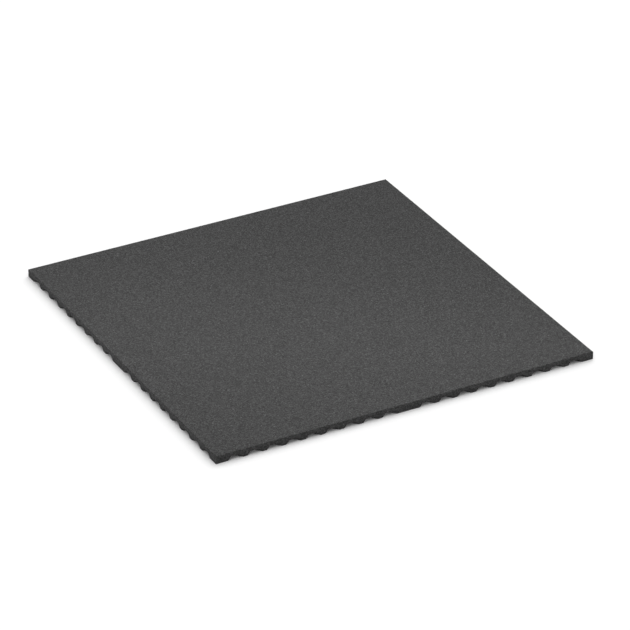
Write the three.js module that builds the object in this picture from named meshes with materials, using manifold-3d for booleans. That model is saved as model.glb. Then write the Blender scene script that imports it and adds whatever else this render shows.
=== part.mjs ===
// Rubber floor tile: a square plate of bonded rubber granules, pressed in one piece.
// Its top is flat. Its underside has rows of shallow square pockets, turned 45 degrees, that open
// downwards. The edges cut the outer rows in half, so each side shows a row of arches.
// Units are millimetres, +Z is up. The origin is at the middle of the underside, on the floor.
import * as THREE from 'three';
import { mergeGeometries, mergeVertices } from 'three/addons/utils/BufferGeometryUtils.js';
import Module from 'manifold-3d';

// Driving dimensions
const TILE_SIDE = 1000;
const TILE_THICKNESS = 20;
const TOP_EDGE_RADIUS = 1.5;
const FIELDS_PER_SIDE = 2;
const POCKET_PITCH = 50;
const FOOT_WIDTH = 11;
const POCKET_DEPTH = 9.3;
const FLANK_RUN = 7.3;

// How finely the top edge is rounded, and how far a pocket's cutter reaches below the underside
const TOP_EDGE_STEPS = 3;
const CUTTER_OVERRUN = 1;

// Derived sizes
const HALF_SIDE = TILE_SIDE / 2;
const FIELD_SIDE = TILE_SIDE / FIELDS_PER_SIDE;
const MOUTH_HALF_DIAGONAL = (POCKET_PITCH - FOOT_WIDTH) / 2;
const CEILING_HALF_DIAGONAL = MOUTH_HALF_DIAGONAL - FLANK_RUN;

const wasm = await Module();
wasm.setup();

// Turns a closed three.js geometry into a solid that can be joined and cut.
function toSolid(geometry) {
  const bare = geometry.clone();
  bare.deleteAttribute('normal');
  bare.deleteAttribute('uv');
  const merged = mergeVertices(bare);
  return new wasm.Manifold(new wasm.Mesh({
    numProp: 3,
    vertProperties: new Float32Array(merged.attributes.position.array),
    triVerts: new Uint32Array(merged.index.array),
  }));
}

// Turns a solid back into a three.js geometry.
function toGeometry(solid) {
  const mesh = solid.getMesh();
  const geometry = new THREE.BufferGeometry();
  geometry.setAttribute('position', new THREE.BufferAttribute(mesh.vertProperties, 3));
  geometry.setIndex(new THREE.BufferAttribute(mesh.triVerts, 1));
  geometry.computeVertexNormals();
  return geometry;
}

// A square plate with a rounded top edge: a profile turned about the upright axis in four steps,
// with its corners on the diagonals, so a distance from a side is stretched by the root of two.
function plate() {
  const toCorner = Math.SQRT2;
  const profile = [new THREE.Vector2(0, 0), new THREE.Vector2(HALF_SIDE * toCorner, 0)];
  for (let step = 0; step <= TOP_EDGE_STEPS; step += 1) {
    const angle = (Math.PI / 2) * (step / TOP_EDGE_STEPS);
    const inset = TOP_EDGE_RADIUS * (1 - Math.cos(angle));
    const drop = TOP_EDGE_RADIUS * (1 - Math.sin(angle));
    profile.push(new THREE.Vector2((HALF_SIDE - inset) * toCorner, TILE_THICKNESS - drop));
  }
  profile.push(new THREE.Vector2(0, TILE_THICKNESS));
  const geometry = new THREE.LatheGeometry(profile, 4, Math.PI / 4);
  geometry.rotateX(Math.PI / 2);
  return geometry;
}

// The space of one pocket: a blunt four-sided pyramid with its corners towards the tile's sides,
// widest at its mouth on the floor. Its flanks go on below the floor, so that the cut is clean.
function pocket(x, y) {
  const overrunHalfDiagonal = MOUTH_HALF_DIAGONAL + (FLANK_RUN * CUTTER_OVERRUN) / POCKET_DEPTH;
  const height = POCKET_DEPTH + CUTTER_OVERRUN;
  const geometry = new THREE.CylinderGeometry(CEILING_HALF_DIAGONAL, overrunHalfDiagonal, height, 4);
  geometry.rotateX(Math.PI / 2);
  geometry.translate(x, y, height / 2 - CUTTER_OVERRUN);
  return geometry;
}

// The lines of pockets along one side: evenly spaced within each field, with one on each border
// between two fields and on the tile's edges.
function pocketLines() {
  const gaps = Math.floor(FIELD_SIDE / POCKET_PITCH);
  const margin = (FIELD_SIDE - gaps * POCKET_PITCH) / 2;
  const lines = [{ at: -HALF_SIDE, onBorder: true }];
  for (let field = 0; field < FIELDS_PER_SIDE; field += 1) {
    const start = field * FIELD_SIDE - HALF_SIDE;
    for (let gap = 1; gap < gaps; gap += 1) {
      lines.push({ at: start + margin + gap * POCKET_PITCH, onBorder: false });
    }
    lines.push({ at: start + FIELD_SIDE, onBorder: true });
  }
  return lines;
}

// Every crossing of two lines has a pocket, except the corners of the fields, which stay solid.
function pockets() {
  const lines = pocketLines();
  const spaces = [];
  for (const column of lines) {
    for (const row of lines) {
      if (!(column.onBorder && row.onBorder)) {
        spaces.push(pocket(column.at, row.at));
      }
    }
  }
  return mergeGeometries(spaces);
}

const rubber = new THREE.MeshStandardMaterial({
  name: 'rubber_granulate',
  color: 0x4f4f4f,
  roughness: 0.9,
  metalness: 0,
});

const tile = new THREE.Mesh(toGeometry(toSolid(plate()).subtract(toSolid(pockets()))), rubber);
tile.name = 'rubber_tile';

const part = new THREE.Group();
part.add(tile);

export default part;
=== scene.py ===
"""Rubber gym floor tile, dressed for the picture: bonded rubber granules on a plain pale floor."""
import math
import bpy
import numpy as np
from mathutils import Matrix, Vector


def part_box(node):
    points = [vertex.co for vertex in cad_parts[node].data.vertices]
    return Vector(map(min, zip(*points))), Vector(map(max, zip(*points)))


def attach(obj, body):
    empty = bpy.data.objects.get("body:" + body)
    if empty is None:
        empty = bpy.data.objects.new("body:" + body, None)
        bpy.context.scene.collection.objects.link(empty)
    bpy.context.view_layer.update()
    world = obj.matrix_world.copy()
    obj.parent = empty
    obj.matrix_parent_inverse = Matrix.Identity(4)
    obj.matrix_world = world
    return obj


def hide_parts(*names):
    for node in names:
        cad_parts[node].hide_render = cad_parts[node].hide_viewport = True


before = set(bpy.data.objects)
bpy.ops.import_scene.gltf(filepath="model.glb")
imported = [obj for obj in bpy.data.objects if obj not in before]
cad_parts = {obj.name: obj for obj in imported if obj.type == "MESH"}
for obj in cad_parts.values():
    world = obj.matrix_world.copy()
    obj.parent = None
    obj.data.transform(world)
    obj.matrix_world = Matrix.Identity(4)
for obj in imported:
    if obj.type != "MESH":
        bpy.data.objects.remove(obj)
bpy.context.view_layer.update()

MM = 0.001

# The tile's sizes, the same as those of its solid
tile_low, tile_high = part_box("rubber_tile")
HALF_SIDE = (tile_high.x - tile_low.x) / 2
THICKNESS = tile_high.z - tile_low.z
FIELD_SIDE = 500 * MM
POCKET_PITCH = 50 * MM
FOOT_WIDTH = 11 * MM
POCKET_DEPTH = 9.3 * MM
TOP_EDGE_RADIUS = 1.5 * MM

# The pocket's section: its flank leans out towards the floor and is a little hollow
MOUTH_HALF_WIDTH = (POCKET_PITCH - FOOT_WIDTH) / 2
FLANK_LEAN = 1.12
FLANK_CURVE = 0.033 / MM
CEILING_BLEND = 1.6 * MM
FOOT_BLEND = 0.3 * MM
PLAN_CORNER_RADIUS = 1.5 * MM

# How finely the mesh is divided. The rings lie closest where the pocket's section bends most
RING_HALF_WIDTHS = np.array([5, 9.5, 11.6, 12.4, 13.3, 14.7, 16.4, 18.2, 19.5, 20.8]) * MM
BORDER_STEP = 9 * MM
WALL_ROWS = 6
TOP_EDGE_STEPS = 4
TOP_MARGIN = 4 * MM
TOP_STEP = POCKET_PITCH / 2
TOP_CELLS = round(2 * HALF_SIDE / TOP_STEP)
TOP_SHRINK = 1 - TOP_MARGIN / HALF_SIDE

# Points closer than this are one point, and edges that bend by more than this are drawn sharp
SAME_PLACE = 0.005 * MM
SHARP_ANGLE = math.radians(50)

# How far single granules lie back from the mould's surface, on the walls and underneath. What is
# lower than the contact height stands on the floor and stays there
RELIEF_WALL = 0.35 * MM
RELIEF_UNDERSIDE = 0.30 * MM
RELIEF_SEED = 11
CONTACT_HEIGHT = 0.25 * MM

# The camera, worked out from where the photograph shows the tile's corners
CAMERA_TARGET = Vector((0.0155, -0.0180, 0.010))
CAMERA_DISTANCE = 9.993
CAMERA_AZIMUTH = math.radians(28.435)
CAMERA_ELEVATION = math.radians(29.408)
CAMERA_LENS = 238.22
CAMERA_SENSOR = 36.0
CAMERA_REACH = 200.0


def smooth_min(a, b, blend):
    """The lower of two curves, with their crossing rounded.

    Where the curves are less than blend apart, the result lies lower than both by a quarter of
    blend times the square of their nearness, which is 1 at the crossing and 0 at blend apart.
    """
    near = np.maximum(blend - np.abs(a - b), 0) / blend
    return np.minimum(a, b) - near * near * blend / 4


def pocket_height(half_width):
    """Height of a pocket's roof at a distance from its middle along a diagonal.

    The flank is the parabola half_width = mouth - lean * z + curve * z^2, solved for z. A rounded
    lower limit joins it to the flat ceiling, and a rounded upper limit joins it to the floor.
    """
    run = MOUTH_HALF_WIDTH - half_width
    under_root = np.maximum(FLANK_LEAN ** 2 - 4 * FLANK_CURVE * run, 0)
    flank = (FLANK_LEAN - np.sqrt(under_root)) / (2 * FLANK_CURVE)
    roof = smooth_min(flank, np.full_like(flank, POCKET_DEPTH), CEILING_BLEND)
    return -smooth_min(-roof, np.zeros_like(roof), FOOT_BLEND)


def ring_heights():
    """Height of the underside at each ring of a cell with a pocket, and 0 at its square border."""
    return np.append(pocket_height(RING_HALF_WIDTHS), 0)


def pocket_lines():
    """Places of the pocket lines along a side, and which of them are borders of the fields."""
    lines = np.arange(-HALF_SIDE, HALF_SIDE + POCKET_PITCH / 2, POCKET_PITCH)
    fields_in = (lines + HALF_SIDE) / FIELD_SIDE
    return lines, np.isclose(fields_in, np.round(fields_in))


def cell_rings():
    """Plan of one cell, as complex numbers x + iy: rings of 16 points round the pocket's middle.

    A ring is a diamond with rounded corners, whose radius is at most a quarter of the ring's half
    width. Its straight sides, drawn on, meet in tips that lie further out than the ring by root 2
    less 1 times the radius, and its arcs end off the axis by the radius over root 2. Between +X and
    +Y a ring has the middle of its corner, the end of the corner's arc, the middle of its side and
    the start of the next arc. The last ring is the cell's square border. Turning that quarter by
    right angles gives the whole ring.
    """
    w = RING_HALF_WIDTHS
    radius = np.minimum(PLAN_CORNER_RADIUS, w / 4)
    tip = w + (math.sqrt(2) - 1) * radius
    leg = radius / math.sqrt(2)
    x = np.stack([w, tip - leg, tip / 2, leg], 1)
    y = np.stack([w * 0, leg, tip / 2, tip - leg], 1)
    half = POCKET_PITCH / 2
    x = np.vstack([x, [half, half, half, BORDER_STEP]])
    y = np.vstack([y, [0, BORDER_STEP, half, half]])
    quarter = x + 1j * y
    return np.concatenate([quarter, quarter * 1j, -quarter, quarter * -1j], 1)


def underside():
    """Points and faces of the underside: one cell of rings for each crossing of the pocket lines.

    A point's height is that of its pocket's roof at the ring's half width. Cells at the corners of
    the fields are flat. Faces whose middle lies outside the tile are left out, so that the outer
    cells are cut in half by the tile's sides.
    """
    lines, on_border = pocket_lines()
    centre = (lines[:, None] + 1j * lines[None, :]).ravel()
    has_pocket = ~(on_border[:, None] & on_border[None, :]).ravel()

    rings = cell_rings()
    ring_count, around = rings.shape
    plan = (centre[:, None, None] + rings).reshape(len(centre), -1)
    height = np.repeat(ring_heights(), around)[None, :] * has_pocket[:, None]
    plan = np.concatenate([plan, centre[:, None]], 1)
    height = np.concatenate([height, POCKET_DEPTH * has_pocket[:, None]], 1)
    points = np.stack([plan.real, plan.imag, height], -1).reshape(-1, 3)

    # A cell's faces: four-cornered between two rings, and a fan of triangles round its middle
    n = np.arange(around)
    after = (n + 1) % around
    ring_start = np.arange(ring_count - 1)[:, None] * around
    inner, inner_after = ring_start + n, ring_start + after
    quads = np.stack([inner, inner_after, inner_after + around, inner + around], -1).reshape(-1, 4)
    middle = np.full(around, ring_count * around)
    fans = np.stack([middle, after, n, n], -1)
    cell_faces = np.concatenate([quads, fans])
    first = np.arange(len(centre)) * (ring_count * around + 1)
    faces = (first[:, None, None] + cell_faces).reshape(-1, 4)
    reach = np.abs(points[faces][:, :, :2].mean(1)).max(1)
    return points, faces[reach < HALF_SIDE]


def side_columns():
    """Places along one side where its wall has a column of points, and the arch's height there.

    They are the points in which the cells' rings meet the side, from one corner to the other.
    """
    steps = np.concatenate([RING_HALF_WIDTHS, [POCKET_PITCH / 2]])
    offsets = np.concatenate([-steps[::-1], [0], steps[:-1]])
    heights = ring_heights()
    heights = np.concatenate([heights[::-1], [POCKET_DEPTH], heights[:-1]])
    lines, on_border = pocket_lines()
    place = (lines[:, None] + offsets).ravel()
    height = (heights[None, :] * ~on_border[:, None]).ravel()
    inside = np.abs(place) < HALF_SIDE + SAME_PLACE
    return place[inside], height[inside]


def grid_faces(rows, columns):
    """Faces of a grid of points numbered row by row, facing the side from which rows run up."""
    number = np.arange(rows * columns).reshape(rows, columns)
    corners = [number[:-1, :-1], number[:-1, 1:], number[1:, 1:], number[1:, :-1]]
    return np.stack(corners, -1).reshape(-1, 4)


def wall_and_rim():
    """Points and faces of one side, from its arches up over the rounded edge to the top's margin.

    Rows of points rise from the arch's height to the edge's arc, follow the arc through a right
    angle, and end on the flat top. Where a row lies in from the side, its places shrink with it, so
    that the rows of two neighbouring sides meet on the corner's diagonal.
    """
    place, foot = side_columns()
    rise = np.linspace(0, 1, WALL_ROWS + 1)[:, None]
    shoulder = THICKNESS - TOP_EDGE_RADIUS
    wall_z = foot + rise * (shoulder - foot)
    angle = np.linspace(0, math.pi / 2, TOP_EDGE_STEPS + 1)[1:]
    arc_inset = TOP_EDGE_RADIUS * (1 - np.cos(angle))
    arc_z = shoulder + TOP_EDGE_RADIUS * np.sin(angle)
    inset = np.concatenate([np.zeros(WALL_ROWS + 1), arc_inset, [TOP_MARGIN]])
    upper_z = np.append(arc_z, THICKNESS)[:, None] + 0 * place
    z = np.vstack([wall_z, upper_z])
    x = place * (1 - inset / HALF_SIDE)[:, None]
    y = (inset - HALF_SIDE)[:, None] + 0 * place
    points = np.stack([x, y, z], -1)
    return points, grid_faces(*z.shape)


def top_border():
    """Triangles between the fine margin of one side and the top's coarse grid.

    Each fine step along the margin is joined to the coarse point behind it: to the left one in the
    left half of a coarse step and to the right one in the right half, and in the corners to the one
    on the diagonal. A third triangle fills the gap between the two halves.
    """
    place, _ = side_columns()
    middle = (place[:-1] + place[1:]) / 2
    cell = np.floor((middle + HALF_SIDE) / TOP_STEP).astype(int)
    in_left_half = (middle + HALF_SIDE) / TOP_STEP - cell < 0.5
    to_left = (in_left_half & (cell > 0)) | (cell == TOP_CELLS - 1)
    apex = cell + np.where(to_left, 0, 1)

    def on_line(number, row):
        """Points of the coarse grid: a number of steps along the side, and a row in from it."""
        x = (number * TOP_STEP - HALF_SIDE) * TOP_SHRINK
        y = (row * TOP_STEP - HALF_SIDE) * TOP_SHRINK + 0 * x
        return np.stack([x, y, THICKNESS + 0 * x], -1)

    def on_margin(x):
        """Points of the margin's inner edge, for places x along the side."""
        return np.stack([x * TOP_SHRINK, -HALF_SIDE * TOP_SHRINK + 0 * x, THICKNESS + 0 * x], -1)

    fans = np.stack([on_margin(place[:-1]), on_margin(place[1:]), on_line(apex, 1)], 1)
    number = np.arange(1, TOP_CELLS - 1)
    turn = np.array([middle[(cell == k) & in_left_half].max() for k in number])
    split = place[np.searchsorted(place, turn)]
    fills = np.stack([on_margin(split), on_line(number + 1, 1), on_line(number, 1)], 1)
    triangles = np.concatenate([fans, fills])
    points = triangles.reshape(-1, 3)
    faces = np.arange(len(points)).reshape(-1, 3)
    return points, np.concatenate([faces, faces[:, 2:]], 1)


def top_middle():
    """The coarse grid of the flat top, inside its border."""
    line = (np.arange(1, TOP_CELLS) * TOP_STEP - HALF_SIDE) * TOP_SHRINK
    x, y = np.meshgrid(line, line)
    points = np.stack([x, y, THICKNESS + 0 * x], -1)
    return points.reshape(-1, 3), grid_faces(*x.shape)


def turned(points, quarter_turns):
    """The points turned about the upright axis: x + iy times i for each right angle."""
    plan = (points[..., 0] + 1j * points[..., 1]) * 1j ** quarter_turns
    return np.stack([plan.real, plan.imag, points[..., 2]], -1)


def joined(sheets):
    """One set of points and faces from several, with points that share a place made one.

    Points share a place if they are equal once they are rounded to steps of SAME_PLACE.
    """
    points = np.concatenate([p.reshape(-1, 3) for p, _ in sheets])
    starts = np.cumsum([0] + [p.size // 3 for p, _ in sheets[:-1]])
    faces = np.concatenate([f + start for (_, f), start in zip(sheets, starts)])
    cells = np.round(points / SAME_PLACE).astype(np.int64)
    _, first, place = np.unique(cells, axis=0, return_index=True, return_inverse=True)
    faces = place.reshape(-1)[faces]
    used, faces = np.unique(faces, return_inverse=True)
    return points[first][used], faces.reshape(-1, 4)


def mesh_piece(name, points, faces):
    """A Blender object from points and four-cornered faces.

    A face whose last two corners are one point is a triangle.
    """
    is_triangle = faces[:, 2] == faces[:, 3]
    loops = np.concatenate([faces[~is_triangle].ravel(), faces[is_triangle][:, :3].ravel()])
    sizes = np.concatenate([np.full((~is_triangle).sum(), 4), np.full(is_triangle.sum(), 3)])
    mesh = bpy.data.meshes.new(name)
    mesh.vertices.add(len(points))
    mesh.vertices.foreach_set("co", points.ravel())
    mesh.loops.add(len(loops))
    mesh.loops.foreach_set("vertex_index", loops)
    mesh.polygons.add(len(sizes))
    mesh.polygons.foreach_set("loop_start", np.cumsum(sizes) - sizes)
    mesh.update(calc_edges=True)
    mesh.validate()
    piece = bpy.data.objects.new(name, mesh)
    bpy.context.scene.collection.objects.link(piece)
    return piece


def roughen(piece):
    """Sets single points back from the mould's surface, as granules are that didn't fill it.

    Each point moves against its normal by a random share of the relief. The flat top and what
    stands on the floor keep their places, so the tile keeps its thickness.
    """
    mesh = piece.data
    count = len(mesh.vertices)
    points = np.empty(count * 3)
    mesh.vertices.foreach_get("co", points)
    points = points.reshape(-1, 3)
    normals = np.empty(count * 3)
    mesh.vertex_normals.foreach_get("vector", normals)
    normals = normals.reshape(-1, 3)
    share = np.random.default_rng(RELIEF_SEED).random(count)
    on_wall = np.abs(points[:, :2]).max(1) > HALF_SIDE - TOP_EDGE_RADIUS
    on_top = points[:, 2] > THICKNESS - SAME_PLACE
    on_floor = points[:, 2] < CONTACT_HEIGHT
    depth = np.where(on_wall, RELIEF_WALL, RELIEF_UNDERSIDE) * share
    depth[on_top | on_floor] = 0
    points -= normals * depth[:, None]
    mesh.vertices.foreach_set("co", points.ravel())
    mesh.update()


def moulded_tile():
    """The whole tile as one closed skin, with sharp edges where an arch meets a side."""
    sheets = [underside(), top_middle()]
    for quarter in range(4):
        for points, faces in (wall_and_rim(), top_border()):
            sheets.append((turned(points, quarter), faces))
    piece = mesh_piece("moulded_tile", *joined(sheets))
    roughen(piece)
    piece.data.polygons.foreach_set("use_smooth", np.ones(len(piece.data.polygons), bool))
    piece.data.set_sharp_from_angle(angle=SHARP_ANGLE)
    return piece


def linear(hex_colour):
    """A colour such as 4f4f4f as linear red, green, blue and full alpha, by the sRGB curve."""
    parts = np.array([int(hex_colour[k:k + 2], 16) for k in (0, 2, 4)]) / 255
    values = np.where(parts <= 0.04045, parts / 12.92, ((parts + 0.055) / 1.055) ** 2.4)
    return (*values.tolist(), 1.0)


def add_node(tree, kind, settings=None, inputs=None, links=None):
    """Adds a node, sets its properties and input values, and links its inputs to other sockets."""
    node = tree.nodes.new(kind)
    for name, value in (settings or {}).items():
        setattr(node, name, value)
    for name, value in (inputs or {}).items():
        node.inputs[name].default_value = value
    for name, socket in (links or {}).items():
        tree.links.new(socket, node.inputs[name])
    return node


def new_material(name):
    """A material without any nodes, and the node tree to fill."""
    material = bpy.data.materials.new(name)
    material.use_nodes = True
    tree = material.node_tree
    tree.nodes.clear()
    return material, tree


# The granulate's real sizes: a granule, the tears in its border and how far they reach, the cut
# rubber's own grain, and the clouds of tone that the mixing leaves
GRANULE = 2.2 * MM
TEAR = 1.6 * MM
TEAR_REACH = 3.5 * MM
GRAIN = 0.45 * MM
CLOUD = 140 * MM

# How far a pore reaches in from a granule's border, as a share of a granule. Over it the shade
# painted into the pore fades out and the relief rises
PORE = 0.16

# Shades of single granules, from bare black rubber to a thick film of binder, each with the share
# of the granules that are darker
GRANULE_SHADES = [
    (0.0, "060606"),
    (0.36, "131313"),
    (0.6, "2e2e2e"),
    (0.96, "3b3b3b"),
    (1.0, "505050"),
]

# Factors on a granule's shade: in a pore, where they paint shade into the pore, and away from it;
# in the darkest and the palest cloud
PAINTED_PORE_SHADE = (0.30, 1.05)
CLOUD_TONES = (0.96, 1.04)

# The relief: the step from a pore's bottom up to a granule, and how strongly the light shows it.
# A granule's dome and the grain on it add these shares of the step
RELIEF_HEIGHT = 0.3 * MM
RELIEF_STRENGTH = 0.6
DOME_SHARE = 1.2
GRAIN_SHARE = 0.5

# Matt rubber, a little duller on some granules than on others
DULLNESS = (0.72, 0.92)
RUBBER_IOR = 1.5

# Where nearly all values of a noise lie, and its middle
NOISE_RANGE = (0.3, 0.7)
NOISE_MIDDLE = (0.5, 0.5, 0.5)


def bonded_rubber_granulate():
    """Tyre rubber granulate bonded with polyurethane and pressed in a mould.

    Its granules of 2 to 3 mm are matt and black. Some are bare, some are greyed by a thicker film
    of binder, and their borders are torn. The pores between them are darkened with painted shade.
    From a few metres away the eye gets a dark grey with a fine speckle.
    """
    material, tree = new_material("bonded_rubber_granulate")
    place = add_node(tree, "ShaderNodeTexCoord").outputs["Object"]

    # Granules with torn borders: the places in which they lie are pushed about by a noise
    tear = add_node(
        tree, "ShaderNodeTexNoise", inputs={"Scale": 1 / TEAR, "Detail": 2.0},
        links={"Vector": place},
    )
    centred = add_node(
        tree, "ShaderNodeVectorMath", {"operation": "SUBTRACT"}, {1: NOISE_MIDDLE},
        {0: tear.outputs["Color"]},
    )
    torn = add_node(
        tree, "ShaderNodeVectorMath", {"operation": "MULTIPLY_ADD"}, {1: (TEAR_REACH,) * 3},
        {0: centred.outputs["Vector"], 2: place},
    ).outputs["Vector"]
    granules = add_node(
        tree, "ShaderNodeTexVoronoi", {"feature": "F1"}, {"Scale": 1 / GRANULE}, {"Vector": torn}
    )
    borders = add_node(
        tree, "ShaderNodeTexVoronoi", {"feature": "DISTANCE_TO_EDGE"}, {"Scale": 1 / GRANULE},
        {"Vector": torn},
    )
    packed = add_node(
        tree, "ShaderNodeMapRange", {"interpolation_type": "SMOOTHSTEP"},
        {"From Min": 0.0, "From Max": PORE, "To Min": 0.0, "To Max": 1.0},
        {"Value": borders.outputs["Distance"]},
    )

    # Colour: each granule's own shade, with painted shade darkening the pores, and a little paler
    # or darker in clouds
    tone = add_node(tree, "ShaderNodeSeparateColor", links={"Color": granules.outputs["Color"]})
    colours = add_node(tree, "ShaderNodeValToRGB", links={"Fac": tone.outputs["Red"]})
    ramp = colours.color_ramp
    for position, shade in GRANULE_SHADES[1:-1]:
        ramp.elements.new(position)
    for element, (position, shade) in zip(ramp.elements, GRANULE_SHADES):
        element.position = position
        element.color = linear(shade)
    clouds = add_node(
        tree, "ShaderNodeTexNoise", inputs={"Scale": 1 / CLOUD, "Detail": 3.0},
        links={"Vector": place},
    )
    cloud_tone = add_node(
        tree, "ShaderNodeMapRange",
        inputs={
            "From Min": NOISE_RANGE[0], "From Max": NOISE_RANGE[1],
            "To Min": CLOUD_TONES[0], "To Max": CLOUD_TONES[1],
        },
        links={"Value": clouds.outputs["Fac"]},
    )
    # Painted shade: the colour in the pores between granules falls to 0.30 of the granule's shade
    painted_pore_factor = add_node(
        tree, "ShaderNodeMapRange", inputs={"To Min": PAINTED_PORE_SHADE[0], "To Max": PAINTED_PORE_SHADE[1]},
        links={"Value": packed.outputs["Result"]},
    )
    factor = add_node(
        tree, "ShaderNodeMath", {"operation": "MULTIPLY"},
        links={0: cloud_tone.outputs["Result"], 1: painted_pore_factor.outputs["Result"]},
    )
    toned = add_node(
        tree, "ShaderNodeVectorMath", {"operation": "SCALE"},
        links={"Vector": colours.outputs["Color"], "Scale": factor.outputs["Value"]},
    )

    # Relief: domed granules that stand out of the pores, with a fine grain on them
    dome = add_node(
        tree, "ShaderNodeMath", {"operation": "MULTIPLY_ADD"}, {1: DOME_SHARE},
        {0: borders.outputs["Distance"], 2: packed.outputs["Result"]},
    )
    grain = add_node(
        tree, "ShaderNodeTexNoise", inputs={"Scale": 1 / GRAIN, "Detail": 2.0},
        links={"Vector": place},
    )
    height = add_node(
        tree, "ShaderNodeMath", {"operation": "MULTIPLY_ADD"}, {1: GRAIN_SHARE},
        {0: grain.outputs["Fac"], 2: dome.outputs["Value"]},
    )
    relief = add_node(
        tree, "ShaderNodeBump", inputs={"Strength": RELIEF_STRENGTH, "Distance": RELIEF_HEIGHT},
        links={"Height": height.outputs["Value"]},
    )

    dullness = add_node(
        tree, "ShaderNodeMapRange", inputs={"To Min": DULLNESS[0], "To Max": DULLNESS[1]},
        links={"Value": tone.outputs["Green"]},
    )
    skin = add_node(
        tree, "ShaderNodeBsdfPrincipled", inputs={"IOR": RUBBER_IOR},
        links={
            "Base Color": toned.outputs["Vector"], "Normal": relief.outputs["Normal"],
            "Roughness": dullness.outputs["Result"],
        },
    )
    add_node(tree, "ShaderNodeOutputMaterial", links={"Surface": skin.outputs["BSDF"]})
    return material


FLOOR_PAINT = "f8f8f8"
FLOOR_REACH = 30.0


def studio_floor():
    """A plain pale floor, painted matt white: one large square without any gloss."""
    material, tree = new_material("matt_white_paint")
    paint = add_node(
        tree, "ShaderNodeBsdfPrincipled",
        inputs={"Base Color": linear(FLOOR_PAINT), "Roughness": 1.0, "Specular IOR Level": 0.0},
    )
    add_node(tree, "ShaderNodeOutputMaterial", links={"Surface": paint.outputs["BSDF"]})
    corners = np.array([(-1, -1, 0), (1, -1, 0), (1, 1, 0), (-1, 1, 0)]) * FLOOR_REACH
    floor = mesh_piece("studio_floor", corners, np.array([[0, 1, 2, 3]]))
    floor.data.materials.append(material)


# The light, with strengths at which the floor, the top and the two near sides have the tones of
# the photograph. Each wash has the direction it shines from, and the softbox's sizes are in metres
TENT_STRENGTH = 0.647
WASH_ANGLE = math.radians(55)
OVERHEAD_WASH = 0.564
OVERHEAD_FROM = Vector((0.0, 0.0, 1.0))
BACK_WASH = 1.294
BACK_FROM = Vector((0.8, 0.8, 1.0))
FRONT_WASH = 0.16
FRONT_FROM = Vector((-0.2, -0.9, 1.0))
SIDE_WASH = 0.726
SIDE_FROM = Vector((-0.6, -0.8, 0.35))
SOFTBOX_POWER = 3.25
SOFTBOX_SIZE = (1.6, 0.25)
SOFTBOX_PLACE = Vector((0.0, -0.11, 0.5))
SOFTBOX_TURN = math.radians(-35)


def add_lamp(name, kind, settings):
    """A lamp of a kind with its settings, on a holder at the origin. The camera doesn't see it."""
    lamp = bpy.data.lights.new(name, kind)
    for key, value in settings.items():
        setattr(lamp, key, value)
    holder = bpy.data.objects.new(name, lamp)
    holder.visible_camera = False
    bpy.context.scene.collection.objects.link(holder)
    return holder


def wash(name, strength, origin):
    """A very wide soft lamp far away, which shines from the direction of origin."""
    holder = add_lamp(name, "SUN", {"angle": WASH_ANGLE, "energy": strength})
    holder.rotation_mode = "QUATERNION"
    holder.rotation_quaternion = origin.to_track_quat("Z", "Y")
    return holder


def white_tent():
    """Even white light from all directions above the floor, and none from below it."""
    world = bpy.data.worlds.new("white_tent")
    world.use_nodes = True
    tree = world.node_tree
    tree.nodes.clear()
    direction = add_node(tree, "ShaderNodeTexCoord").outputs["Generated"]
    upright = add_node(tree, "ShaderNodeSeparateXYZ", links={"Vector": direction}).outputs["Z"]
    above = add_node(tree, "ShaderNodeMath", {"operation": "GREATER_THAN"}, {1: 0.0}, {0: upright})
    strength = add_node(
        tree, "ShaderNodeMath", {"operation": "MULTIPLY"}, {1: TENT_STRENGTH},
        {0: above.outputs["Value"]},
    )
    tent = add_node(
        tree, "ShaderNodeBackground", inputs={"Color": (1, 1, 1, 1)},
        links={"Strength": strength.outputs["Value"]},
    )
    add_node(tree, "ShaderNodeOutputWorld", links={"Surface": tent.outputs["Background"]})
    bpy.context.scene.world = world


def studio_light(lit_piece):
    """A white tent, wide soft lamps overhead and behind, and a weak one in front.

    A low lamp on the near sides and a long softbox over the top light the piece alone.
    """
    white_tent()
    wash("overhead_wash", OVERHEAD_WASH, OVERHEAD_FROM)
    wash("back_wash", BACK_WASH, BACK_FROM)
    wash("front_wash", FRONT_WASH, FRONT_FROM)
    side_wash = wash("side_wash", SIDE_WASH, SIDE_FROM)
    width, depth = SOFTBOX_SIZE
    softbox = add_lamp(
        "softbox", "AREA",
        {"shape": "RECTANGLE", "size": width, "size_y": depth, "energy": SOFTBOX_POWER},
    )
    softbox.location = SOFTBOX_PLACE
    softbox.rotation_euler = (0, 0, SOFTBOX_TURN)
    lit_alone = bpy.data.collections.new("lit_alone")
    lit_alone.objects.link(lit_piece)
    for lamp in (side_wash, softbox):
        lamp.light_linking.receiver_collection = lit_alone


def photograph_camera():
    """A long lens that looks down on the tile from the photograph's side.

    It stands back from its target along the direction that its azimuth and elevation give.
    """
    level = math.cos(CAMERA_ELEVATION)
    back = Vector((
        -math.sin(CAMERA_AZIMUTH) * level,
        -math.cos(CAMERA_AZIMUTH) * level,
        math.sin(CAMERA_ELEVATION),
    ))
    lens = bpy.data.cameras.new("camera")
    lens.sensor_width = CAMERA_SENSOR
    lens.lens = CAMERA_LENS
    lens.clip_end = CAMERA_REACH
    camera = bpy.data.objects.new("camera", lens)
    camera.location = CAMERA_TARGET + back * CAMERA_DISTANCE
    camera.rotation_mode = "QUATERNION"
    camera.rotation_quaternion = (-back).to_track_quat("-Z", "Y")
    bpy.context.scene.collection.objects.link(camera)
    bpy.context.scene.camera = camera


photograph_camera()
tile = moulded_tile()
tile.data.materials.append(bonded_rubber_granulate())
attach(tile, "root")
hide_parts("rubber_tile")
studio_floor()
studio_light(tile)
bpy.context.scene.view_settings.view_transform = "Standard"
